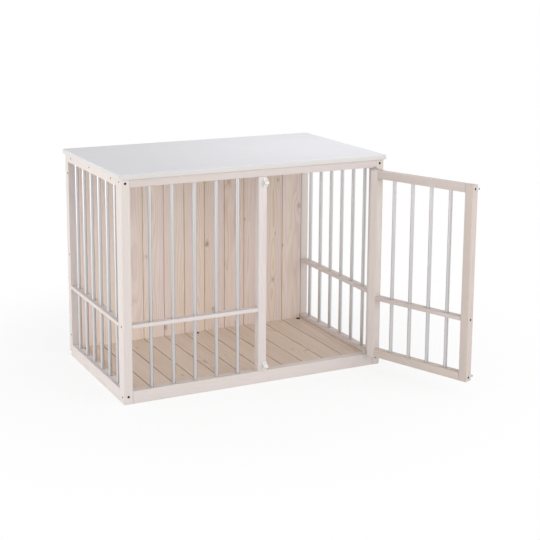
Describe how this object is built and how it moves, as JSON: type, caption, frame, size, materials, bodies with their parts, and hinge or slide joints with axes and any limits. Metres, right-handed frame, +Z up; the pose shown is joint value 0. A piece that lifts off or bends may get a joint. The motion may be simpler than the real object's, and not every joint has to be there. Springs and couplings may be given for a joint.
{
  "type": "dog crate end table",
  "caption": "Pine dog crate with metal bars, boarded back and floor, a barred swing door with slide bolts and a flat top used as an end table.",
  "frame": {"origin": "middle of the crate's footprint on the ground, on the underside of the middle floor batten", "axes": "+X to the right seen from the front, +Y to the back wall, +Z up"},
  "size_m": [1.0317, 0.9318, 0.713],
  "materials": {
    "white_top": "smooth white laminate, satin",
    "pine_frame": "planed pine, white glaze, eased edges",
    "pine_boards": "tongue-and-groove pine boards, thin white glaze",
    "bars": "satin drawn rod",
    "white_plastic": "moulded white plastic",
    "hinge_steel": "zinc-plated sheet",
    "bolt_steel": "blackened steel rod"
  },
  "bodies": {
    "crate": {"back_bottom_cleat": "pine_frame", "back_left_stile": "pine_frame", "back_panel": "pine_boards", "back_right_stile": "pine_frame", "back_top_cleat": "pine_frame", "centre_post": "pine_frame", "floor_batten_back": "pine_frame", "floor_batten_front": "pine_frame", "floor_batten_middle": "pine_frame", "floor_panel": "pine_boards", "front_bar_1": "bars", "front_bar_2": "bars", "front_bar_3": "bars", "front_bar_4": "bars", "front_bar_5": "bars", "front_bottom_rail": "pine_frame", "front_left_post": "pine_frame", "front_mid_rail": "pine_frame", "front_right_post": "pine_frame", "front_top_rail": "pine_frame", "left_bar_1": "bars", "left_bar_2": "bars", "left_bar_3": "bars", "left_bar_4": "bars", "left_bar_5": "bars", "left_bar_6": "bars", "left_bottom_rail": "pine_frame", "left_mid_rail": "pine_frame", "left_top_rail": "pine_frame", "lower_frame_leaf": "hinge_steel", "lower_keeper": "white_plastic", "lower_pivot_rivet": "hinge_steel", "right_bar_1": "bars", "right_bar_2": "bars", "right_bar_3": "bars", "right_bar_4": "bars", "right_bar_5": "bars", "right_bar_6": "bars", "right_bottom_rail": "pine_frame", "right_mid_rail": "pine_frame", "right_top_rail": "pine_frame", "table_top": "white_top", "upper_frame_leaf": "hinge_steel", "upper_keeper": "white_plastic", "upper_pivot_rivet": "hinge_steel"},
    "door": {"door_bar_1": "bars", "door_bar_2": "bars", "door_bar_3": "bars", "door_bar_4": "bars", "door_bottom_rail": "pine_frame", "door_free_stile": "pine_frame", "door_hinge_stile": "pine_frame", "door_mid_rail": "pine_frame", "door_top_rail": "pine_frame", "lower_bolt_housing": "white_plastic", "lower_door_leaf": "hinge_steel", "upper_bolt_housing": "white_plastic", "upper_door_leaf": "hinge_steel"},
    "upper_bolt": {"upper_slide_bolt": "bolt_steel"},
    "lower_bolt": {"lower_slide_bolt": "bolt_steel"}
  },
  "joints": [
    {"name": "door_swing", "type": "hinge", "parent": "crate", "child": "door", "pos_m": [0.4235, -0.276, 0], "axis": [0, 0, 1], "range_deg": [-111, 69]},
    {"name": "upper_bolt_slide", "type": "slide", "parent": "door", "child": "upper_bolt", "axis": [0.3584, -0.9336, 0], "range_m": [0, 0.012]},
    {"name": "lower_bolt_slide", "type": "slide", "parent": "door", "child": "lower_bolt", "axis": [0.3584, -0.9336, 0], "range_m": [0, 0.012]}
  ]
}
